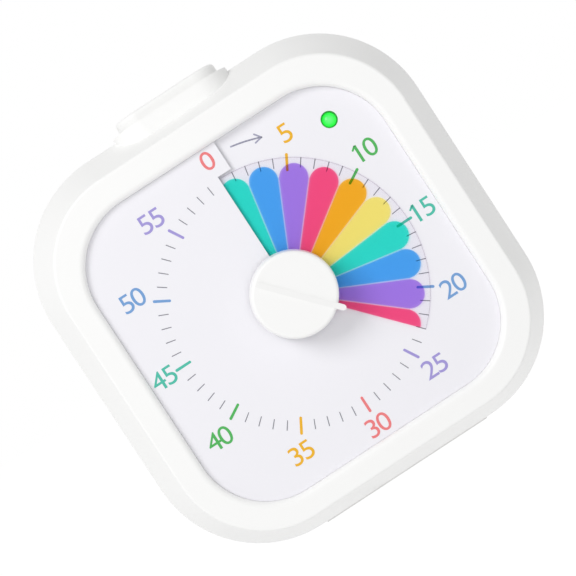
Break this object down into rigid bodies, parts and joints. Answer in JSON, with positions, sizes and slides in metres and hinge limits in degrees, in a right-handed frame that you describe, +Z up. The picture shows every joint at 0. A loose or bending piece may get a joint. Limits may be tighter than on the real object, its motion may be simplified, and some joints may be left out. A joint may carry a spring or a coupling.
{
  "type": "visual countdown timer",
  "caption": "White rounded-square desk timer with a recessed minute dial, a colour-petal film that the centre knob draws out of a slit, and a top push button",
  "frame": {"origin": "middle of the underside of the base pad, where the timer stands", "axes": "+X to the right seen from the front, -Y out of the dial, +Z up"},
  "size_m": [0.132, 0.0522, 0.1362],
  "materials": {
    "white_case": "satin moulded ABS",
    "white_knob": "satin moulded ABS",
    "white_button": "satin moulded ABS",
    "white_inner": "moulded polystyrene",
    "dial_card": "matt printed sheet",
    "film": "clear film printed with coloured petals",
    "grey_rubber": "matt silicone",
    "gear_plastic": "natural acetal",
    "black_plastic": "moulded",
    "slide_grey": "moulded",
    "board_green": "coated circuit board",
    "led_green": "clear tinted epoxy, lit",
    "steel": "plated",
    "brass": "turned",
    "motor_can": "drawn can",
    "cell_wrap": "plain wrapped cell"
  },
  "bodies": {
    "case": {"front_shell": "white_case", "back_shell": "white_case", "base_pad": "grey_rubber", "dial_sheet": "dial_card", "dial_tray": "white_inner", "spindle_bush": "brass", "movement_case": "white_inner", "movement_cover": "white_inner", "drive_motor": "motor_can", "main_board": "board_green", "control_chip": "black_plastic", "buzzer": "black_plastic", "status_led": "led_green", "button_collar": "white_case", "switch_board": "board_green", "tact_switch": "black_plastic", "battery_box": "white_inner", "battery_cells": "cell_wrap", "battery_contacts": "steel", "slide_switch": "black_plastic", "case_screws": "steel", "tray_screws": "steel", "cover_screws": "steel"},
    "knob_unit": {"knob": "white_knob", "pointer_fin": "white_knob", "spindle": "steel", "output_gear": "gear_plastic"},
    "film_unit": {"petal_film": "film", "film_hub": "white_inner"},
    "pinion": {"motor_pinion": "gear_plastic", "motor_rotor": "steel"},
    "button": {"button_cap": "white_button", "switch_plunger": "black_plastic"},
    "sound_slider": {"slide_knob": "slide_grey"},
    "door": {"battery_door": "white_case"}
  },
  "joints": [
    {"name": "knob_turn", "type": "hinge", "parent": "case", "child": "knob_unit", "pos_m": [0, -0.0233, 0.0644], "axis": [0, 1, 0], "range_deg": [-138, 222]},
    {"name": "film_climb", "type": "slide", "parent": "knob_unit", "child": "film_unit", "axis": [0, -1, 0], "range_m": [-0.0006, 0.0009]},
    {"name": "pinion_spin", "type": "hinge", "parent": "case", "child": "pinion", "pos_m": [0, -0.0114, 0.086], "axis": [0, 1, 0], "range_deg": [-1300, 900]},
    {"name": "button_press", "type": "slide", "parent": "case", "child": "button", "axis": [0, 0, -1], "range_m": [0, 0.0012], "stiffness_N_per_m": 900, "springref_m": -0.0005},
    {"name": "sound_slide", "type": "slide", "parent": "case", "child": "sound_slider", "axis": [1, 0, 0], "range_m": [-0.003, 0.003]},
    {"name": "door_swing", "type": "hinge", "parent": "case", "child": "door", "pos_m": [0, 0.014, 0.015], "axis": [-1, 0, 0], "range_deg": [0, 80]}
  ],
  "couplings": [
    {"joint": "film_climb", "follows": "knob_turn", "m_per_rad": 0.00022282},
    {"joint": "pinion_spin", "follows": "knob_turn", "ratio": -5}
  ]
}
